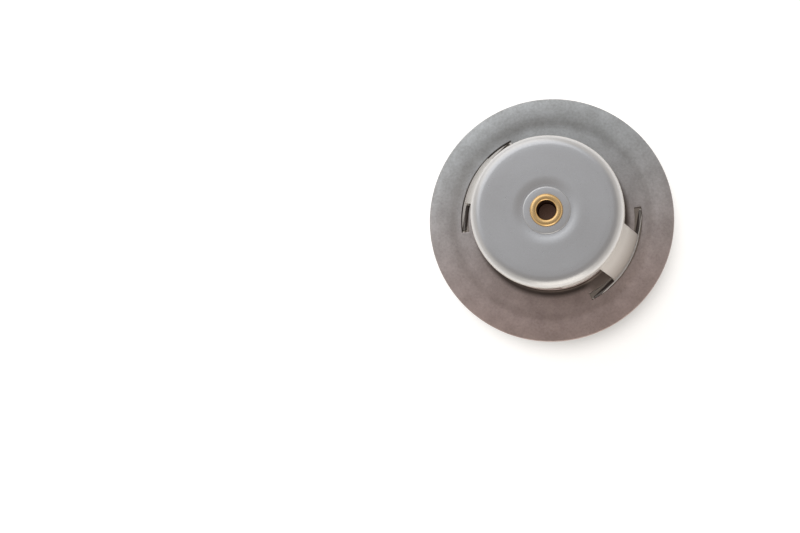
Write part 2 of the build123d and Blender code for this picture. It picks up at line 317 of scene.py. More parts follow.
def rounded_path(corners, radii, steps=7):
    """The points of a path in a plane, with an arc of the given radius at each inner corner."""
    points = [Vector(corners[0])]
    for before, corner, after, radius in zip(corners, corners[1:], corners[2:], radii):
        corner = Vector(corner)
        arriving = (corner - Vector(before)).normalized()
        leaving = (Vector(after) - corner).normalized()
        turn = acos(max(-1, min(1, arriving.dot(leaving))))
        if not radius or turn < radians(0.5):
            points.append(corner)
            continue
        centre = corner + (leaving - arriving).normalized() * (radius / cos(turn / 2))
        start = corner - arriving * (radius * tan(turn / 2)) - centre
        sense = 1 if arriving.x * leaving.y > arriving.y * leaving.x else -1
        for i in range(steps + 1):
            angle = sense * turn * i / steps
            turned = (
                start.x * cos(angle) - start.y * sin(angle),
                start.x * sin(angle) + start.y * cos(angle),
            )
            points.append(centre + Vector(turned))
    points.append(Vector(corners[-1]))
    return points


def spread(start, end, step):
    """Evenly spaced values from start up to, but not at, the end."""
    count = max(1, round(abs(end - start) / step))
    return [start + (end - start) * i / count for i in range(count)]


def around(radius, height, angle):
    """The point at a radius and an angle about the axis."""
    return Vector((radius * cos(angle), radius * sin(angle), height))


def swept(path, angles):
    """Rows of points for a path of radius and height, taken about the axis at the given angles."""
    return [[around(point.x, point.y, angle) for angle in angles] for point in path]


def weld(name, *grids):
    """One mesh from grids. A grid is its rows of points and a test of which cells to keep."""
    shape = bmesh.new()
    for rows, kept in grids:
        corners = [[shape.verts.new(point) for point in row] for row in rows]
        for i, (row, following) in enumerate(zip(corners, corners[1:])):
            for j in range(len(row) - 1):
                if kept(i, j):
                    shape.faces.new((row[j], row[j + 1], following[j + 1], following[j]))
    bmesh.ops.remove_doubles(shape, verts=shape.verts, dist=weld_distance)
    loose = [corner for corner in shape.verts if not corner.link_faces]
    bmesh.ops.delete(shape, geom=loose, context="VERTS")
    bmesh.ops.recalc_face_normals(shape, faces=shape.faces)
    mesh = bpy.data.meshes.new(name)
    shape.to_mesh(mesh)
    shape.free()
    return mesh


def place_piece(mesh, material, slot, body, *nodes):
    """An object for a mesh. It rides on a body in place of CAD nodes."""
    piece = bpy.data.objects.new(mesh.name, mesh)
    bpy.context.scene.collection.objects.link(piece)
    mesh.materials.append(material)
    mesh.shade_smooth()
    mesh.set_sharp_from_angle(angle=sharp_angle)
    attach(piece, body)
    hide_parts(*nodes)
    return piece


def thicken(piece, sheet, edge_radius):
    """Gives a middle surface the thickness of its sheet and the eased edges of pressed work."""
    solid = piece.modifiers.new("thickness", "SOLIDIFY")
    solid.thickness = sheet
    solid.offset = 0
    solid.use_even_offset = True
    solid.use_quality_normals = True
    edges = piece.modifiers.new("eased_edges", "BEVEL")
    edges.width = edge_radius
    edges.segments = 2
    edges.limit_method = "ANGLE"
    edges.angle_limit = radians(50)
    edges.use_clamp_overlap = False


def worked_metal_group():
    """Blotches of two tones, grain, and the faint rings that a tool leaves about the axis."""
    group = bpy.data.node_groups.new("worked_metal", "ShaderNodeTree")
    inputs = {
        "Clean": ("NodeSocketColor", (0.5, 0.5, 0.5, 1)),
        "Dull": ("NodeSocketColor", (0.4, 0.4, 0.4, 1)),
        "Gloss low": ("NodeSocketFloat", 0.3),
        "Gloss high": ("NodeSocketFloat", 0.5),
        "Rings": ("NodeSocketFloat", 900),
        "Ring share": ("NodeSocketFloat", 0.5),
        "Grain": ("NodeSocketFloat", 2500),
        "Blotches": ("NodeSocketFloat", 90),
    }
    for socket, (kind, value) in inputs.items():
        entrance = group.interface.new_socket(socket, in_out="INPUT", socket_type=kind)
        entrance.default_value = value
    outputs = {"Color": "NodeSocketColor", "Roughness": "NodeSocketFloat", "Height": "NodeSocketFloat"}
    for socket, kind in outputs.items():
        group.interface.new_socket(socket, in_out="OUTPUT", socket_type=kind)
    entry = group.nodes.new("NodeGroupInput")
    leave = group.nodes.new("NodeGroupOutput")
    place = add_node(group, "TexCoord")
    scaled = add_node(group, "Math", operation="MULTIPLY")
    rings = add_node(group, "TexNoise", noise_dimensions="1D")
    grain = add_node(group, "TexNoise")
    blotches = add_node(group, "TexNoise")
    fleck = add_node(group, "Mix")
    steep = add_node(group, "MapRange")
    tones = add_node(group, "Mix", data_type="RGBA")
    relief = add_node(group, "Mix")
    gloss = add_node(group, "MapRange")
    radius = distance_from_axis(group, place.outputs["Object"])
    rings.inputs["Scale"].default_value = 1
    rings.inputs["Detail"].default_value = 3
    grain.inputs["Detail"].default_value = 3
    grain.inputs["Roughness"].default_value = 0.7
    blotches.inputs["Detail"].default_value = 4
    fleck.inputs["Factor"].default_value = 0.45
    set_range(steep, 0.35, 0.65)
    set_range(gloss, 0.3, 0.7)
    add_links(
        group,
        (radius, scaled.inputs[0]),
        (entry.outputs["Rings"], scaled.inputs[1]),
        (scaled.outputs[0], rings.inputs["W"]),
        (place.outputs["Object"], grain.inputs["Vector"]),
        (entry.outputs["Grain"], grain.inputs["Scale"]),
        (place.outputs["Object"], blotches.inputs["Vector"]),
        (entry.outputs["Blotches"], blotches.inputs["Scale"]),
        (blotches.outputs["Fac"], fleck.inputs["A"]),
        (grain.outputs["Fac"], fleck.inputs["B"]),
        (fleck.outputs["Result"], steep.inputs["Value"]),
        (steep.outputs["Result"], tones.inputs["Factor"]),
        (entry.outputs["Clean"], tones.inputs["A"]),
        (entry.outputs["Dull"], tones.inputs["B"]),
        (entry.outputs["Ring share"], relief.inputs["Factor"]),
        (grain.outputs["Fac"], relief.inputs["A"]),
        (rings.outputs["Fac"], relief.inputs["B"]),
        (relief.outputs["Result"], gloss.inputs["Value"]),
        (entry.outputs["Gloss low"], gloss.inputs["To Min"]),
        (entry.outputs["Gloss high"], gloss.inputs["To Max"]),
        (tones.outputs["Result"], leave.inputs["Color"]),
        (gloss.outputs["Result"], leave.inputs["Roughness"]),
        (relief.outputs["Result"], leave.inputs["Height"]),
    )
    return group


worked_metal = worked_metal_group()


def metal(name, metallic, relief_depth, **values):
    """A stuff with the worked look, a metal or a partly metallic one. Returns its material, group
    node and shader."""
    material = bpy.data.materials.new(name)
    material.use_nodes = True
    tree = material.node_tree
    shader = tree.nodes["Principled BSDF"]
    shader.inputs["Metallic"].default_value = metallic
    look = add_node(tree, "Group")
    bump = add_node(tree, "Bump")
    look.node_tree = worked_metal
    for socket, value in values.items():
        look.inputs[socket.replace("_", " ")].default_value = value
    bump.inputs["Distance"].default_value = relief_depth
    add_links(
        tree,
        (look.outputs["Color"], shader.inputs["Base Color"]),
        (look.outputs["Roughness"], shader.inputs["Roughness"]),
        (look.outputs["Height"], bump.inputs["Height"]),
        (bump.outputs["Normal"], shader.inputs["Normal"]),
    )
    return material, look, shader


def overlay_group():
    """An overlay of another colour, from bare to full between two radii and between two levels. Its uses
    here paint shade and reflection, and darken the ferrule's bore.
    """
    group = bpy.data.node_groups.new("overlay", "ShaderNodeTree")
    for socket, kind in (
        ("Color", "NodeSocketColor"),
        ("Overlay", "NodeSocketColor"),
        ("Radius bare", "NodeSocketFloat"),
        ("Radius full", "NodeSocketFloat"),
        ("Level bare", "NodeSocketFloat"),
        ("Level full", "NodeSocketFloat"),
    ):
        group.interface.new_socket(socket, in_out="INPUT", socket_type=kind)
    group.interface.new_socket("Color", in_out="OUTPUT", socket_type="NodeSocketColor")
    group.interface.new_socket("Share", in_out="OUTPUT", socket_type="NodeSocketFloat")
    entry = group.nodes.new("NodeGroupInput")
    leave = group.nodes.new("NodeGroupOutput")
    place = add_node(group, "TexCoord")
    split = add_node(group, "SeparateXYZ")
    by_radius = add_node(group, "MapRange")
    by_level = add_node(group, "MapRange")
    share = add_node(group, "Math", operation="MULTIPLY")
    covered = add_node(group, "Mix", data_type="RGBA")
    radius = distance_from_axis(group, place.outputs["Object"])
    add_links(
        group,
        (place.outputs["Object"], split.inputs[0]),
        (radius, by_radius.inputs["Value"]),
        (entry.outputs["Radius bare"], by_radius.inputs["From Min"]),
        (entry.outputs["Radius full"], by_radius.inputs["From Max"]),
        (split.outputs["Z"], by_level.inputs["Value"]),
        (entry.outputs["Level bare"], by_level.inputs["From Min"]),
        (entry.outputs["Level full"], by_level.inputs["From Max"]),
        (by_radius.outputs["Result"], share.inputs[0]),
        (by_level.outputs["Result"], share.inputs[1]),
        (share.outputs[0], covered.inputs["Factor"]),
        (entry.outputs["Color"], covered.inputs["A"]),
        (entry.outputs["Overlay"], covered.inputs["B"]),
        (covered.outputs["Result"], leave.inputs["Color"]),
        (share.outputs[0], leave.inputs["Share"]),
    )
    return group


overlay = overlay_group()


def add_overlay(tree, colour, radii, levels, under, over):
    """Lays an overlay of colour between two sockets of a material, and returns its node."""
    layer = add_node(tree, "Group")
    layer.node_tree = overlay
    layer.inputs["Overlay"].default_value = (*colour, 1)
    layer.inputs["Radius bare"].default_value, layer.inputs["Radius full"].default_value = radii
    layer.inputs["Level bare"].default_value, layer.inputs["Level full"].default_value = levels
    add_links(tree, (under, layer.inputs["Color"]), (layer.outputs["Color"], over))
    return layer


tumbled_steel, flange_look, flange_shader = metal(
    "tumbled_steel",
    metallic=0.85,
    relief_depth=0.03 * mm,
    Clean=(0.5, 0.49, 0.48, 1),
    Dull=(0.37, 0.357, 0.345, 1),
    Gloss_low=0.4,
    Gloss_high=0.62,
    Rings=700,
    Ring_share=0.3,
    Grain=1500,
    Blotches=220,
)

# The top of the plate is painted a cooler grey towards the window and darker and browner on the other
# side: painted shade with a warm painted reflection. Where it meets the bridge, and on the walls of its
# slots, it is painted dark as painted shade.
painted_shade_side = (0.6, -0.8, 0)
painted_shade_colour = (0.1, 0.078, 0.068)
tree = tumbled_steel.node_tree
place = add_node(tree, "TexCoord")
split = add_node(tree, "SeparateXYZ")
across = add_node(tree, "VectorMath", operation="DOT_PRODUCT")
centred = add_node(tree, "MapRange")
upper = add_node(tree, "MapRange")
browner = add_node(tree, "Math", operation="MULTIPLY")
tint = add_node(tree, "Mix", data_type="RGBA")
tinted = add_node(tree, "Mix", data_type="RGBA", blend_type="MULTIPLY")
across.inputs[1].default_value = painted_shade_side
set_range(centred, -25 * mm, 32 * mm, smooth=True)
set_range(upper, 0.1 * mm, 0.6 * mm)
tint.inputs["A"].default_value = (0.97, 1.02, 1.06, 1)
tint.inputs["B"].default_value = (1, 0.8, 0.765, 1)
tinted.inputs["Factor"].default_value = 1
add_links(
    tree,
    (place.outputs["Object"], across.inputs[0]),
    (across.outputs["Value"], centred.inputs["Value"]),
    (place.outputs["Object"], split.inputs[0]),
    (split.outputs["Z"], upper.inputs["Value"]),
    (centred.outputs["Result"], browner.inputs[0]),
    (upper.outputs["Result"], browner.inputs[1]),
    (browner.outputs[0], tint.inputs["Factor"]),
    (flange_look.outputs["Color"], tinted.inputs["A"]),
    (tint.outputs["Result"], tinted.inputs["B"]),
)
# Painted shade: dark where the plate meets the bridge, and on the walls of its slots.
corner = add_overlay(
    tree,
    colour=painted_shade_colour,
    radii=(21.9 * mm, 20.6 * mm),
    levels=(2.9 * mm, 2.3 * mm),
    under=tinted.outputs["Result"],
    over=flange_shader.inputs["Base Color"],
)
slot_wall_painted_shade = add_overlay(
    tree,
    colour=painted_shade_colour,
    radii=(25.2 * mm, 24.9 * mm),
    levels=(0.6 * mm, 0.3 * mm),
    under=corner.outputs["Color"],
    over=flange_shader.inputs["Base Color"],
)

# The plate between the near leg and the bridge, up to the slot, is painted darker as their shadow.
near_leg_bearing, near_leg_reach, near_leg_fade = radians(-23), radians(5), radians(14.5)
half_painted_shade_colour = (0.2, 0.162, 0.143)
outward = add_node(tree, "VectorMath", operation="NORMALIZE")
facing = add_node(tree, "VectorMath", operation="DOT_PRODUCT")
near_leg = add_node(tree, "MapRange")
painted_leg_shadow = add_node(tree, "Mix", data_type="RGBA")
facing.inputs[1].default_value = (cos(near_leg_bearing), sin(near_leg_bearing), 0)
set_range(near_leg, cos(near_leg_fade), cos(near_leg_reach), smooth=True)
add_overlay(
    tree,
    colour=half_painted_shade_colour,
    radii=(24.9 * mm, 24.0 * mm),
    levels=(2.9 * mm, 2.3 * mm),
    under=slot_wall_painted_shade.outputs["Color"],
    over=painted_leg_shadow.inputs["B"],
)
add_links(
    tree,
    (place.outputs["Object"], outward.inputs[0]),
    (outward.outputs[0], facing.inputs[0]),
    (facing.outputs["Value"], near_leg.inputs["Value"]),
    (near_leg.outputs["Result"], painted_leg_shadow.inputs["Factor"]),
    (slot_wall_painted_shade.outputs["Color"], painted_leg_shadow.inputs["A"]),
    (painted_leg_shadow.outputs["Result"], flange_shader.inputs["Base Color"]),
)

rim_middle = flange_sheet / 2
plate_middle = rim_middle - step_depth
collar_middle = port_radius + flange_sheet / 2
flange_path = rounded_path(
    [
        (flange_high.x, rim_middle),
        (rim_inner_radius, rim_middle),
        (step_radius, plate_middle),
        (slot_outer_radius, plate_middle),
        (slot_inner_radius, plate_middle),
        (collar_middle, plate_middle),
        (collar_middle, flange_high.z),
    ],
    [plate_bend, plate_bend, 0, 0, collar_bend],
)
half_turn = spread(0, slot_half_angle, column_step)
half_turn += spread(slot_half_angle, pi - slot_half_angle, column_step)
half_turn += spread(pi - slot_half_angle, pi, column_step)
flange_columns = half_turn + [angle + pi for angle in half_turn] + [2 * pi]


def beside_slots(path, columns, inner_radius):
    """A test that keeps the cells of a swept path that neither slot takes away."""

    def kept(i, j):
        radius = (path[i].x + path[i + 1].x) / 2
        angle = (columns[j] + columns[j + 1]) / 2 % pi
        in_slot = inner_radius < radius < slot_outer_radius
        return not (in_slot and min(angle, pi - angle) < slot_half_angle)

    return kept


flange_rows = swept(flange_path, flange_columns)
flange_kept = beside_slots(flange_path, flange_columns, slot_inner_radius)
flange_mesh = weld("pressed_flange", (flange_rows, flange_kept))
flange = place_piece(flange_mesh, tumbled_steel, "flange_steel", "frame", "flange_plate")
thicken(flange, flange_sheet, flange_easing)

# ---------------------------------------------------------------- upper bridge
# The bridge is deep drawn from 1 mm stainless sheet: a round cap whose skirt is trimmed higher over
# the two windows, a dish with a coined pad in the crown, and two legs sprung outwards. The T heads of
# the legs go through the slots and are flattened behind them, which holds flange and cage together.
bridge_sheet = 1.0 * mm
bridge_wall = 20.0 * mm
crown_level = 20.5 * mm
crown_hole = 3.4 * mm
crown_rings = [radius * mm for radius in (10, 12, 14, 16)]
dish_outer, dish_inner, dish_depth = 8.6 * mm, 6.6 * mm, 0.3 * mm
skirt_start, window_level, skirt_level = 17.8 * mm, 17.0 * mm, 14.0 * mm
window_side_angle = radians(52)
window_corner = 0.8 * mm
leg_half_width = 6.8 * mm
notch_radius = 0.8 * mm
leg_foot_radius, leg_bend_level = 23.6 * mm, 3.4 * mm
foot_top, foot_bottom = -1.6 * mm, -4.6 * mm
foot_tangent, foot_end = radians(18), radians(34.5)
foot_corner = 0.7 * mm
skirt_steps, foot_steps, corner_steps = 6, 6, 5
leg_step, wing_inner = 0.6 * mm, 1.2 * mm
dish_bend, crown_bend, leg_bend, bridge_easing = 12 * mm, 2.5 * mm, 2.5 * mm, 0.12 * mm
pad_radius, pad_top = 6.4 * mm, 21.1 * mm

# One quarter of the skirt, as angles with the level of its lower edge: leg, notch, skirt, window.
notch_turns, corner_turns = (30, 55, 90, 125, 150, 180), (0, 30, 50, 70, 90)
window_side_gap = 0.1 * mm
leg_lines = spread(0, leg_half_width, leg_step) + [leg_half_width]
quarter = [(asin(y / bridge_wall), skirt_level) for y in leg_lines]
for turn in notch_turns:
    y = leg_half_width + notch_radius * (1 - cos(radians(turn)))
    quarter.append((asin(y / bridge_wall), skirt_level + notch_radius * sin(radians(turn))))
quarter += [(angle, skirt_level) for angle in spread(quarter[-1][0], window_side_angle, column_step)[1:]]
quarter.append((window_side_angle - window_side_gap / bridge_wall, skirt_level))
for turn in corner_turns:
    angle = window_side_angle + window_corner * (1 - cos(radians(turn))) / bridge_wall
    quarter.append((angle, window_level - window_corner * (1 - sin(radians(turn)))))
quarter += [(angle, window_level) for angle in spread(quarter[-1][0], pi / 2, column_step)[1:]]
quarter.append((pi / 2, window_level))
half = quarter + [(pi - angle, level) for angle, level in reversed(quarter[:-1])]
skirt_columns = half + [(pi + angle, level) for angle, level in half[1:]]

crown_path = rounded_path(
    [
        (crown_hole, crown_level - dish_depth),
        (dish_inner, crown_level - dish_depth),
        (dish_outer, crown_level),
        *((radius, crown_level) for radius in crown_rings),
        (bridge_wall, crown_level),
        (bridge_wall, skirt_start),
    ],
    [dish_bend, dish_bend, 0, 0, 0, 0, crown_bend],
    steps=10,
)
crown_rows = swept(crown_path, [angle for angle, _ in skirt_columns])
for i in range(1, skirt_steps + 1):
    row = []
    for angle, level in skirt_columns:
        height = skirt_start + (level - skirt_start) * i / skirt_steps
        row.append(around(bridge_wall, height, angle))
    crown_rows.append(row)
leg_path = rounded_path(
    [
        (bridge_wall, skirt_level),
        (leg_foot_radius, leg_bend_level),
        (leg_foot_radius, foot_top),
    ],
    [leg_bend],
)
foot_levels = [foot_top + (foot_bottom - foot_top) * i / foot_steps for i in range(foot_steps + 1)]
leg_path += [Vector((leg_foot_radius, level)) for level in foot_levels[1:]]
leg_columns = [-y for y in reversed(leg_lines[1:])] + leg_lines
wing_start = Vector((sqrt(leg_foot_radius**2 - leg_half_width**2), leg_half_width))
wing_end = leg_foot_radius * tan(foot_end - foot_tangent)
wing_columns = spread(wing_inner, wing_end - foot_corner, leg_step)
for i in range(corner_steps + 1):
    wing_columns.append(wing_end - foot_corner * (1 - sin(pi / 2 * i / corner_steps)))


def wing_point(distance, level, side):
    """A point of the T head's wing, at a distance along the tangent that it follows."""
    tip = max(0.0, distance - wing_end + foot_corner)
    inset = foot_corner - sqrt(max(0.0, foot_corner**2 - tip**2))
    middle = (foot_top + foot_bottom) / 2
    reach = (foot_top - foot_bottom) / 2
    height = middle + (level - middle) * (reach - inset) / reach
    along = Vector((cos(foot_tangent), sin(foot_tangent))) * leg_foot_radius
    along += Vector((-sin(foot_tangent), cos(foot_tangent))) * distance
    return Vector((along.x, along.y * side, height))


def all_cells(i, j):
    """Keeps every cell of a grid."""
    return True


bridge_grids = [(crown_rows, all_cells)]
for end in (1, -1):
    leg_rows = [
        [Vector((end * sqrt(point.x**2 - y**2), end * y, point.y)) for y in leg_columns]
        for point in leg_path
    ]
    bridge_grids.append((leg_rows, all_cells))
    for side in (1, -1):
        wing_rows = []
        for level in foot_levels:
            row = [Vector((wing_start.x, wing_start.y * side, level))]
            row += [wing_point(distance, level, side) for distance in wing_columns]
            wing_rows.append([Vector((end * point.x, end * point.y, point.z)) for point in row])
        bridge_grids.append((wing_rows, all_cells))

drawn_steel, bridge_look, bridge_shader = metal(
    "drawn_steel",
    metallic=0.8,
    relief_depth=0.012 * mm,
    Clean=(0.55, 0.555, 0.57, 1),
    Dull=(0.49, 0.49, 0.498, 1),
    Gloss_low=0.26,
    Gloss_high=0.36,
    Rings=500,
    Ring_share=0.35,
    Grain=2200,
    Blotches=60,
)
# The skirt is painted pale cream and made less metallic, and the legs paler still, as painted reflection
# of the bright surroundings; towards their feet the legs are painted greyer as painted shade. In the
# slots the T heads are painted dark as painted shade, but for their tips.
tree = drawn_steel.node_tree
skirt_painted_reflection = add_overlay(
    tree,
    colour=(0.84, 0.815, 0.78),
    radii=(15 * mm, 16 * mm),
    levels=(20.3 * mm, 18.4 * mm),
    under=bridge_look.outputs["Color"],
    over=bridge_shader.inputs["Base Color"],
)
leg_painted_reflection = add_overlay(
    tree,
    colour=(0.98, 0.96, 0.925),
    radii=(15 * mm, 16 * mm),
    levels=(16.5 * mm, 14.5 * mm),
    under=skirt_painted_reflection.outputs["Color"],
    over=bridge_shader.inputs["Base Color"],
)
foot_painted_shade = add_overlay(
    tree,
    colour=(0.47, 0.43, 0.4),
    radii=(21.6 * mm, 24.6 * mm),
    levels=(15 * mm, 13 * mm),
    under=leg_painted_reflection.outputs["Color"],
    over=bridge_shader.inputs["Base Color"],
)
# Painted shade on the T heads in the slots, all but their tips.
add_overlay(
    tree,
    colour=painted_shade_colour,
    radii=(24.15 * mm, 23.85 * mm),
    levels=(-1 * mm, -1.5 * mm),
    under=foot_painted_shade.outputs["Color"],
    over=bridge_shader.inputs["Base Color"],
)
metal_share = add_node(tree, "MapRange")
metal_share.inputs["To Min"].default_value = 0.8
metal_share.inputs["To Max"].default_value = 0.3
add_links(
    tree,
    (skirt_painted_reflection.outputs["Share"], metal_share.inputs["Value"]),
    (metal_share.outputs["Result"], bridge_shader.inputs["Metallic"]),
)
bridge_mesh = weld("drawn_bridge", *bridge_grids)
bridge = place_piece(bridge_mesh, drawn_steel, "bridge_steel", "frame", "upper_bridge")
thicken(bridge, bridge_sheet, bridge_easing)


def lathed(name, outline, turns=180):
    """A mesh from an outline of radius and height, turned about the axis in so many steps."""
    rows = swept(outline, [2 * pi * i / turns for i in range(turns + 1)])
    return weld(name, (rows, all_cells))


def settle(piece):
    """Turns the modifiers of a piece into plain mesh."""
    shown = piece.evaluated_get(bpy.context.evaluated_depsgraph_get())
    shaped = bpy.data.meshes.new_from_object(shown)
    piece.modifiers.clear()
    piece.data = shaped


def join_mesh(piece, mesh):
    """Adds a mesh to a piece, under the piece's own material."""
    shape = bmesh.new()
    shape.from_mesh(piece.data)
    shape.from_mesh(mesh)
    shape.to_mesh(piece.data)
    shape.free()


settle(bridge)
pad_outline = rounded_path(
    [
        (crown_hole, crown_level),
        (crown_hole, pad_top),
        (pad_radius, pad_top),
        (pad_radius, crown_level - dish_depth),
    ],
    [0.1 * mm, 0.4 * mm],
)
pad = lathed("coined_pad", pad_outline)
pad.shade_smooth()
pad.set_sharp_from_angle(angle=sharp_angle)
join_mesh(bridge, pad)

# ---------------------------------------------------------------- piston ferrule
# A brass bush, turned on an automatic lathe, sits on the pad with its rolled head and is clinched
# under the crown. Its bore is coloured dark brown inside, from just below the head downwards; its lower
# socket holds the piston.
head_top, bore_floor, web_bottom, ferrule_bottom = 22.0 * mm, 16.0 * mm, 15.0 * mm, 13.5 * mm
head_radius, bore_radius, barrel_radius, socket_radius = 4.4 * mm, 2.5 * mm, 3.4 * mm, 2.05 * mm
clinch_top, clinch_bottom, clinch_radius = 19.6 * mm, 18.9 * mm, 3.9 * mm

ferrule_brass, brass_look, brass_shader = metal(
    "ferrule_brass",
    metallic=1.0,
    relief_depth=0.01 * mm,
    Clean=(0.8, 0.565, 0.285, 1),
    Dull=(0.66, 0.425, 0.185, 1),
    Gloss_low=0.22,
    Gloss_high=0.34,
    Rings=3000,
    Ring_share=0.6,
    Grain=2500,
    Blotches=160,
)
add_overlay(
    ferrule_brass.node_tree,
    colour=(0.11, 0.064, 0.047),
    radii=(bore_radius + 0.4 * mm, bore_radius + 0.05 * mm),
    levels=(head_top - 0.25 * mm, head_top - 1.3 * mm),
    under=brass_look.outputs["Color"],
    over=brass_shader.inputs["Base Color"],
)
ferrule_rounding = (0.3, 0.8, 0.8, 0.05, 0, 0, 0.1, 0.2, 0.15, 0.1, 0.1)
ferrule_outline = rounded_path(
    [
        (0, bore_floor),
        (bore_radius, bore_floor),
        (bore_radius, head_top),
        (head_radius, head_top),
        (head_radius, pad_top),
        (barrel_radius, pad_top),
        (barrel_radius, clinch_top),
        (clinch_radius, clinch_top),
        (barrel_radius, clinch_bottom),
        (barrel_radius, ferrule_bottom),
        (socket_radius, ferrule_bottom),
        (socket_radius, web_bottom),
        (0, web_bottom),
    ],
    [radius * mm for radius in ferrule_rounding],
)
ferrule_mesh = lathed("rolled_ferrule", ferrule_outline)
place_piece(ferrule_mesh, ferrule_brass, "brass", "frame", "piston_ferrule")

# ---------------------------------------------------------------- piston
# The piston is a hardened stainless pin, ground and polished, with a chamfer at each end. It stands
# still in the ferrule; the element climbs down it.
piston_radius, piston_bottom = 2.0 * mm, 3.3 * mm
piston_chamfer, piston_easing = 0.3 * mm, 0.05 * mm
polished_pin, _, _ = metal(
    "polished_pin",
    metallic=1.0,
    relief_depth=0.004 * mm,
    Clean=(0.8, 0.8, 0.8, 1),
    Dull=(0.72, 0.71, 0.7, 1),
    Gloss_low=0.12,
    Gloss_high=0.2,
    Rings=1500,
    Ring_share=0.2,
    Grain=4000,
    Blotches=200,
)
piston_outline = rounded_path(
    [
        (0, piston_bottom),
        (piston_radius - piston_chamfer, piston_bottom),
        (piston_radius, piston_bottom + piston_chamfer),
        (piston_radius, web_bottom - piston_chamfer),
        (piston_radius - piston_chamfer, web_bottom),
        (0, web_bottom),
    ],
    [piston_easing] * 4,
    steps=3,
)
piston_mesh = lathed("ground_piston", piston_outline, turns=96)
place_piece(piston_mesh, polished_pin, "pin_steel", "frame", "piston")

# ---------------------------------------------------------------- element guide
# The guide is turned from brass bar: a neck that runs on the piston over a flange that the cup is
# crimped around, with a cone inside that funnels the squeezed rubber into the bore.
guide_top, neck_radius, neck_chamfer, guide_bore = 12.8 * mm, 4.25 * mm, 0.8 * mm, 2.05 * mm
guide_flange_top, guide_flange_bottom, guide_flange_radius = -1.0 * mm, -2.6 * mm, 8.6 * mm
cone_radius, cone_top = 5.0 * mm, 0.4 * mm
turned_brass, _, _ = metal(
    "turned_brass",
    metallic=1.0,
    relief_depth=0.012 * mm,
    Clean=(0.7, 0.475, 0.21, 1),
    Dull=(0.57, 0.37, 0.16, 1),
    Gloss_low=0.25,
    Gloss_high=0.42,
    Rings=2600,
    Ring_share=0.6,
    Grain=2200,
    Blotches=120,
)
guide_outline = rounded_path(
    [
        (guide_bore, cone_top),
        (guide_bore, guide_top),
        (neck_radius - neck_chamfer, guide_top),
        (neck_radius, guide_top - neck_chamfer),
        (neck_radius, guide_flange_top),
        (guide_flange_radius, guide_flange_top),
        (guide_flange_radius, guide_flange_bottom),
        (cone_radius, guide_flange_bottom),
        (guide_bore, cone_top),
    ],
    [0.2 * mm, 0.15 * mm, 0.15 * mm, 0.8 * mm, 0.1 * mm, 0.1 * mm, 0.1 * mm],
)
guide_mesh = lathed("turned_guide", guide_outline)
place_piece(guide_mesh, turned_brass, "brass", "valve", "element_guide")

# ---------------------------------------------------------------- inside the element
# Sealed in the element are a moulded rubber diaphragm and plug, a slippery plastic washer between the
# plug and the piston, and the wax with its copper powder. They keep the plain shapes of the solids.


def moulded(name, colour, dark_colour, gloss, grain, relief_depth, metallic=0):
    """A matt moulded or cast stuff: two close tones, a grain, and its own gloss."""
    material, _, _ = metal(
        name,
        metallic,
        relief_depth,
        Clean=(*colour, 1),
        Dull=(*dark_colour, 1),
        Gloss_low=gloss - 0.1,
        Gloss_high=gloss + 0.1,
        Ring_share=0,
        Grain=grain,
    )
    return material


black_rubber = moulded(
    "black_rubber",
    colour=(0.03, 0.03, 0.031),
    dark_colour=(0.022, 0.021, 0.021),
    gloss=0.62,
    grain=2500,
    relief_depth=0.02 * mm,
)
white_plastic = moulded(
    "white_plastic",
    colour=(0.82, 0.82, 0.8),
    dark_colour=(0.77, 0.76, 0.73),
    gloss=0.45,
    grain=1800,
    relief_depth=0.01 * mm,
)
copper_wax = moulded(
    "copper_wax",
    colour=(0.5, 0.33, 0.2),
    dark_colour=(0.4, 0.22, 0.11),
    gloss=0.5,
    grain=4000,
    relief_depth=0.02 * mm,
    metallic=0.2,
)
for node, material in (
    ("diaphragm", black_rubber),
    ("rubber_plug", black_rubber),
    ("backing_washer", white_plastic),
    ("wax_charge", copper_wax),
):
    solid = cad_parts[node]
    solid.data.materials.clear()
    solid.data.materials.append(material)

# ---------------------------------------------------------------- element cup
# The cup that holds the wax is drawn brass with its rim crimped over the guide. A grooved spigot on
# its bottom carries the bypass valve.
cup_radius, cup_inner = 6.5 * mm, 5.6 * mm
cup_top, cup_bottom, cup_floor = -4.5 * mm, -23.0 * mm, -22.1 * mm
crimp_radius, crimp_inner, crimp_top, crimp_floor = 9.5 * mm, 7.6 * mm, -0.3 * mm, -3.6 * mm
spigot_radius, spigot_end, spigot_chamfer = 2.4 * mm, -29.0 * mm, 0.5 * mm
groove_radius, groove_top, groove_bottom = 1.9 * mm, -27.7 * mm, -28.3 * mm
cup_rounding = (0.1, 0.1, 0.05, 0.05, 0.05, 0.05, 0.3, 0.9, 0.2, 0.4, 0.55, 0.2, 0, 0, 0.2, 0.3, 0.5)
cup_outline = rounded_path(
    [
        (0, spigot_end),
        (spigot_radius - spigot_chamfer, spigot_end),
        (spigot_radius, spigot_end + spigot_chamfer),
        (spigot_radius, groove_bottom),
        (groove_radius, groove_bottom),
        (groove_radius, groove_top),
        (spigot_radius, groove_top),
        (spigot_radius, cup_bottom),
        (cup_radius, cup_bottom),
        (cup_radius, cup_top),
        (crimp_radius, cup_top),
        (crimp_radius, crimp_top),
        (crimp_inner, crimp_top),
        (crimp_inner, guide_flange_top),
        (guide_flange_radius, guide_flange_top),
        (guide_flange_radius, crimp_floor),
        (cup_inner, crimp_floor),
        (cup_inner, cup_floor),
        (0, cup_floor),
    ],
    [radius * mm for radius in cup_rounding],
)
place_piece(lathed("drawn_cup", cup_outline), turned_brass, "brass", "valve", "element_cup")

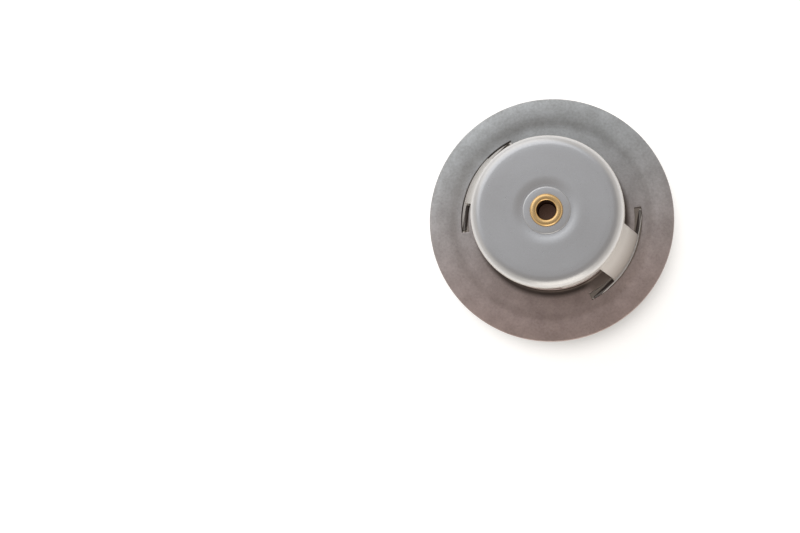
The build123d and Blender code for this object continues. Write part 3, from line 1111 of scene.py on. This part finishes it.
# ---------------------------------------------------------------- main valve plate
# The main valve is a dished disc of pressed stainless steel, pushed up against the crimped rim of the
# cup. Its outer band seats on the underside of the flange around the port.
valve_sheet, valve_bend, valve_easing = 1.0 * mm, 1.1 * mm, 0.15 * mm
valve_hole, valve_dish, valve_seat, valve_edge = 7.0 * mm, 12.8 * mm, 17.4 * mm, 21.2 * mm
valve_dish_level, valve_seat_level = -5.0 * mm, -1.0 * mm
satin_steel, satin_look, satin_shader = metal(
    "satin_steel",
    metallic=0.95,
    relief_depth=0.015 * mm,
    Clean=(0.53, 0.52, 0.5, 1),
    Dull=(0.44, 0.42, 0.4, 1),
    Gloss_low=0.3,
    Gloss_high=0.46,
    Rings=800,
    Ring_share=0.5,
    Grain=2600,
    Blotches=90,
)
# Painted shade: this steel is painted dark up under the flange, where it shows through the slots.
add_overlay(
    satin_steel.node_tree,
    colour=painted_shade_colour,
    radii=(25.2 * mm, 24.9 * mm),
    levels=(-1.45 * mm, -1.3 * mm),
    under=satin_look.outputs["Color"],
    over=satin_shader.inputs["Base Color"],
)
valve_low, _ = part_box("main_valve_plate")
valve_path = rounded_path(
    [
        (valve_hole, valve_low.z),
        (valve_hole, valve_dish_level),
        (valve_dish, valve_dish_level),
        (valve_seat, valve_seat_level),
        (valve_edge, valve_seat_level),
    ],
    [valve_bend] * 3,
)
valve_mesh = lathed("pressed_valve", valve_path)
valve = place_piece(valve_mesh, satin_steel, "valve_steel", "valve", "main_valve_plate")
thicken(valve, valve_sheet, valve_easing)

# ---------------------------------------------------------------- lower cage
# The cage is a pressed stainless cup with its sides cut away, so that two straps are left between the
# slotted ring under the flange and a floor. The spring stands on the floor and a collar drawn down
# from it guides the element.
cage_sheet, cage_bend, cage_knee_bend, cage_easing = 1.0 * mm, 1.1 * mm, 2.0 * mm, 0.12 * mm
cage_ring, cage_wall, cage_ring_level = 25.5 * mm, 22.0 * mm, -1.0 * mm
cage_knee_level, cage_floor_radius, cage_floor_level = -10.2 * mm, 13.5 * mm, -20.0 * mm
cage_collar, cage_collar_end = 7.1 * mm, -22.5 * mm
cage_slot_inner = 22.4 * mm
strap_step, cage_column_step = 0.8 * mm, radians(2)
strap_half_width, lip_level = 8.0 * mm, -2.7 * mm
strap_end = Vector((13.82 * mm, -19.66 * mm))

cage_path = rounded_path(
    [
        (cage_ring, cage_ring_level),
        (slot_outer_radius, cage_ring_level),
        (cage_wall, cage_ring_level),
        (cage_wall, lip_level),
        (cage_wall, cage_knee_level),
        (cage_floor_radius, cage_floor_level),
        (cage_collar, cage_floor_level),
        (cage_collar, cage_collar_end),
    ],
    [0, cage_bend, 0, cage_knee_bend, cage_bend, cage_bend],
)
lip_row = min(range(len(cage_path)), key=lambda i: abs(cage_path[i].y - lip_level))
floor_row = min(range(len(cage_path)), key=lambda i: (cage_path[i] - strap_end).length)
strap_lines = spread(-strap_half_width, strap_half_width, strap_step) + [strap_half_width]


def turn_with_straps(radius, *stops):
    """Angles for a full turn that include the lines of both straps where they meet this radius."""
    strap = [acos(line / radius) for line in reversed(strap_lines)]
    free = sorted([0.0, *stops, strap[0]])
    quarter_turn = []
    for low, high in zip(free, free[1:]):
        quarter_turn += spread(low, high, cage_column_step)
    half_turn = quarter_turn + strap + [pi - angle for angle in reversed(quarter_turn)]
    return half_turn + [pi + angle for angle in half_turn[1:]]


ring_columns = turn_with_straps(cage_wall, slot_half_angle)
floor_columns = turn_with_straps(cage_path[floor_row].x)
ring_kept = beside_slots(cage_path, ring_columns, cage_slot_inner)
cage_grids = [
    (swept(cage_path[: lip_row + 1], ring_columns), ring_kept),
    (swept(cage_path[floor_row:], floor_columns), all_cells),
]
for end in (1, -1):
    strap_rows = [
        [Vector((line, end * sqrt(point.x**2 - line**2), point.y)) for line in strap_lines]
        for point in cage_path[lip_row : floor_row + 1]
    ]
    cage_grids.append((strap_rows, all_cells))
cage_mesh = weld("pressed_cage", *cage_grids)
cage = place_piece(cage_mesh, satin_steel, "valve_steel", "frame", "lower_cage")
thicken(cage, cage_sheet, cage_easing)

# ---------------------------------------------------------------- main spring
# The main spring is cold coiled from stainless wire with ground ends, and holds the valve shut. It
# stands on the cage's floor and shortens as the valve opens.
spring_steel, _, _ = metal(
    "spring_steel",
    metallic=1.0,
    relief_depth=0.01 * mm,
    Clean=(0.56, 0.55, 0.54, 1),
    Dull=(0.44, 0.42, 0.4, 1),
    Gloss_low=0.24,
    Gloss_high=0.36,
    Ring_share=0.0,
    Grain=3000,
    Blotches=150,
)


def coil(name, low, high, low_radius, high_radius, wire, turns, ring=28):
    """A coil spring of round wire whose end turns lie down flat and are ground at the end levels."""
    steps_a_turn, flat_share = 60, 0.35
    ground_low, ground_both = wire * 0.3, wire * 0.6
    rows = []
    count = round(turns * steps_a_turn)
    for i in range(count + 1):
        part = i / count
        eased = part - flat_share / turns / pi * sin(2 * pi * part)
        angle = 2 * pi * turns * part
        centre = low + ground_low + (high - low - ground_both) * eased
        radius = low_radius + (high_radius - low_radius) * part
        row = []
        for k in range(ring + 1):
            bend = 2 * pi * k / ring
            height = min(high, max(low, centre + wire / 2 * sin(bend)))
            row.append(around(radius + wire / 2 * cos(bend), height, angle))
        rows.append(row)
    start, end = ([sum(row[:-1], Vector()) / ring] * (ring + 1) for row in (rows[0], rows[-1]))
    return weld(name, ([start, *rows, end], all_cells))


main_coil_radius, main_wire, main_turns = 11.0 * mm, 1.8 * mm, 3.6
spring_low, spring_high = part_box("main_spring")
main_spring = place_piece(
    coil(
        "coiled_main_spring",
        spring_low.z,
        spring_high.z,
        main_coil_radius,
        main_coil_radius,
        main_wire,
        main_turns,
    ),
    spring_steel,
    "spring_steel",
    "frame",
    "main_spring",
)
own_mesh(main_spring)

# ---------------------------------------------------------------- bypass disc
# The bypass valve is a small pressed disc with a turned up edge. It slides on the spigot of the cup.
disc_sheet, disc_bend, disc_easing = 0.8 * mm, 0.9 * mm, 0.15 * mm
disc_hole, disc_land, disc_foot, disc_edge = 2.5 * mm, 5.5 * mm, 8.2 * mm, 12.1 * mm
disc_land_level, disc_foot_level, disc_edge_level = -27.3 * mm, -29.6 * mm, -27.7 * mm
disc_path = rounded_path(
    [
        (disc_hole, disc_land_level),
        (disc_land, disc_land_level),
        (disc_foot, disc_foot_level),
        (disc_edge, disc_foot_level),
        (disc_edge, disc_edge_level),
    ],
    [disc_bend] * 3,
)
disc_mesh = lathed("pressed_bypass_disc", disc_path)
disc = place_piece(disc_mesh, satin_steel, "valve_steel", "bypass", "bypass_disc")
thicken(disc, disc_sheet, disc_easing)

# ---------------------------------------------------------------- bypass spring
# A small conical spring of the same wire presses the bypass disc down onto its clip.
bypass_coil_low, bypass_coil_high, bypass_wire, bypass_turns = 3.6 * mm, 5.6 * mm, 0.8 * mm, 2.4
bypass_low, bypass_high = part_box("bypass_spring")
bypass_spring = place_piece(
    coil(
        "coiled_bypass_spring",
        bypass_low.z,
        bypass_high.z,
        bypass_coil_low,
        bypass_coil_high,
        bypass_wire,
        bypass_turns,
        ring=20,
    ),
    spring_steel,
    "spring_steel",
    "valve",
    "bypass_spring",
)
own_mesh(bypass_spring)

# ---------------------------------------------------------------- bypass clip
# An open ring of spring steel, pushed sideways into the groove of the spigot, keeps the disc on.
clip_inner, clip_outer, clip_edge = 1.95 * mm, 4.0 * mm, 0.1 * mm
clip_low, clip_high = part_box("bypass_clip")
clip_outline = rounded_path(
    [
        (clip_inner, clip_low.z),
        (clip_outer, clip_low.z),
        (clip_outer, clip_high.z),
        (clip_inner, clip_high.z),
        (clip_inner, clip_low.z),
    ],
    [clip_edge] * 3,
    steps=3,
)
clip_reach, clip_step = radians(145), radians(3)
clip_columns = spread(-clip_reach, clip_reach, clip_step) + [clip_reach]
clip_mesh = weld("open_clip", (swept(clip_outline, clip_columns), all_cells))
shape = bmesh.new()
shape.from_mesh(clip_mesh)
bmesh.ops.holes_fill(shape, edges=[edge for edge in shape.edges if edge.is_boundary])
shape.to_mesh(clip_mesh)
shape.free()
place_piece(clip_mesh, spring_steel, "spring_steel", "valve", "bypass_clip")
